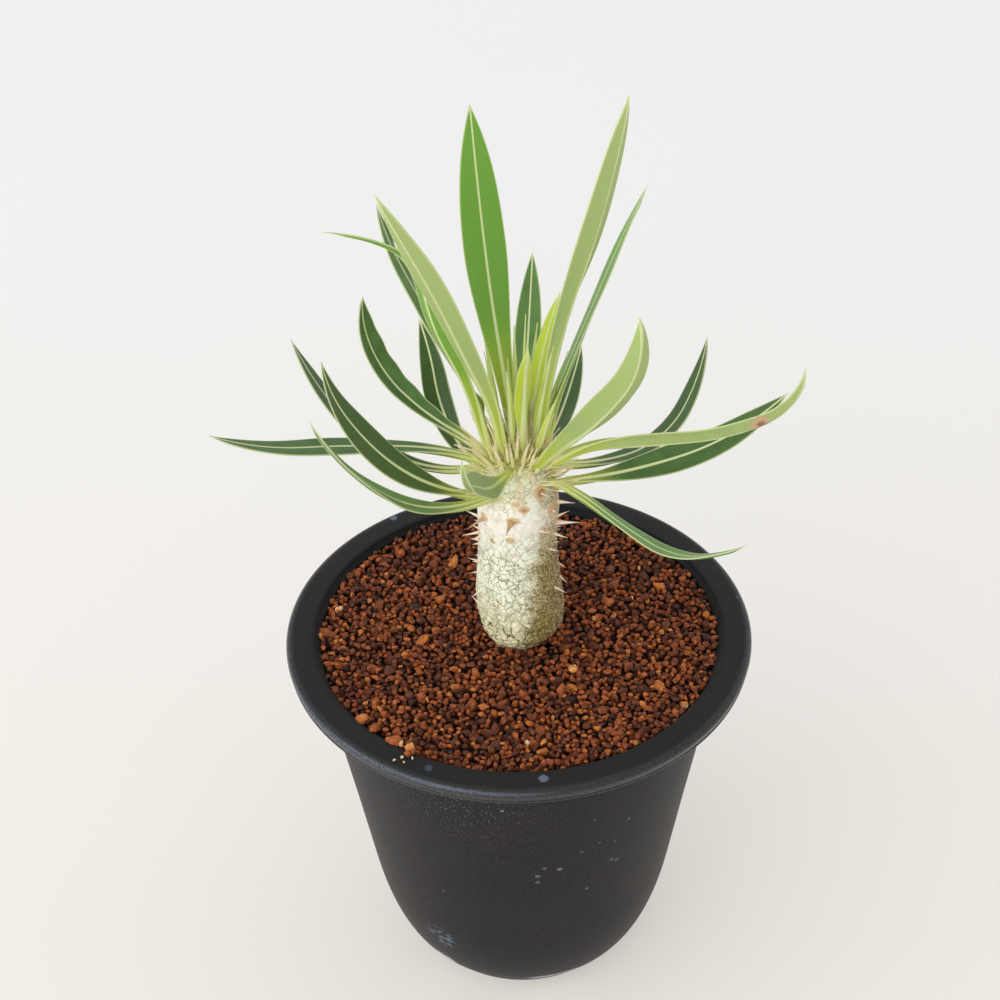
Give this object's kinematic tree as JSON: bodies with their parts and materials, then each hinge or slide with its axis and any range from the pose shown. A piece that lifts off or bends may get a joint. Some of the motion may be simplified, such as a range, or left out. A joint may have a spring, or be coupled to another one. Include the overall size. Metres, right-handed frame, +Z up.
{
  "type": "potted pachypodium",
  "caption": "Potted Pachypodium inopinatum: a short spiny caudex with a rosette of narrow folded leaves, standing in grit in a black flared pot with a flat lip.",
  "frame": {"origin": "centre of the pot's underside", "axes": "+Z up along the stem, -Y towards the side that the picture shows, +X to that side's right"},
  "size_m": [0.1208, 0.1139, 0.2263],
  "materials": {
    "black_plastic": "satin",
    "grit": "matte",
    "bark": "matte",
    "leaf_green": "satin"
  },
  "bodies": {
    "root": {"pot": "black_plastic", "soil": "grit", "caudex": "bark", "leaf_01": "leaf_green", "leaf_02": "leaf_green", "leaf_03": "leaf_green", "leaf_04": "leaf_green", "leaf_05": "leaf_green", "leaf_06": "leaf_green", "leaf_07": "leaf_green", "leaf_08": "leaf_green", "leaf_09": "leaf_green", "leaf_10": "leaf_green", "leaf_11": "leaf_green", "leaf_12": "leaf_green", "leaf_13": "leaf_green", "leaf_14": "leaf_green", "leaf_15": "leaf_green", "leaf_16": "leaf_green", "leaf_17": "leaf_green", "leaf_18": "leaf_green", "leaf_19": "leaf_green", "leaf_20": "leaf_green", "leaf_21": "leaf_green", "leaf_22": "leaf_green"}
  },
  "joints": []
}
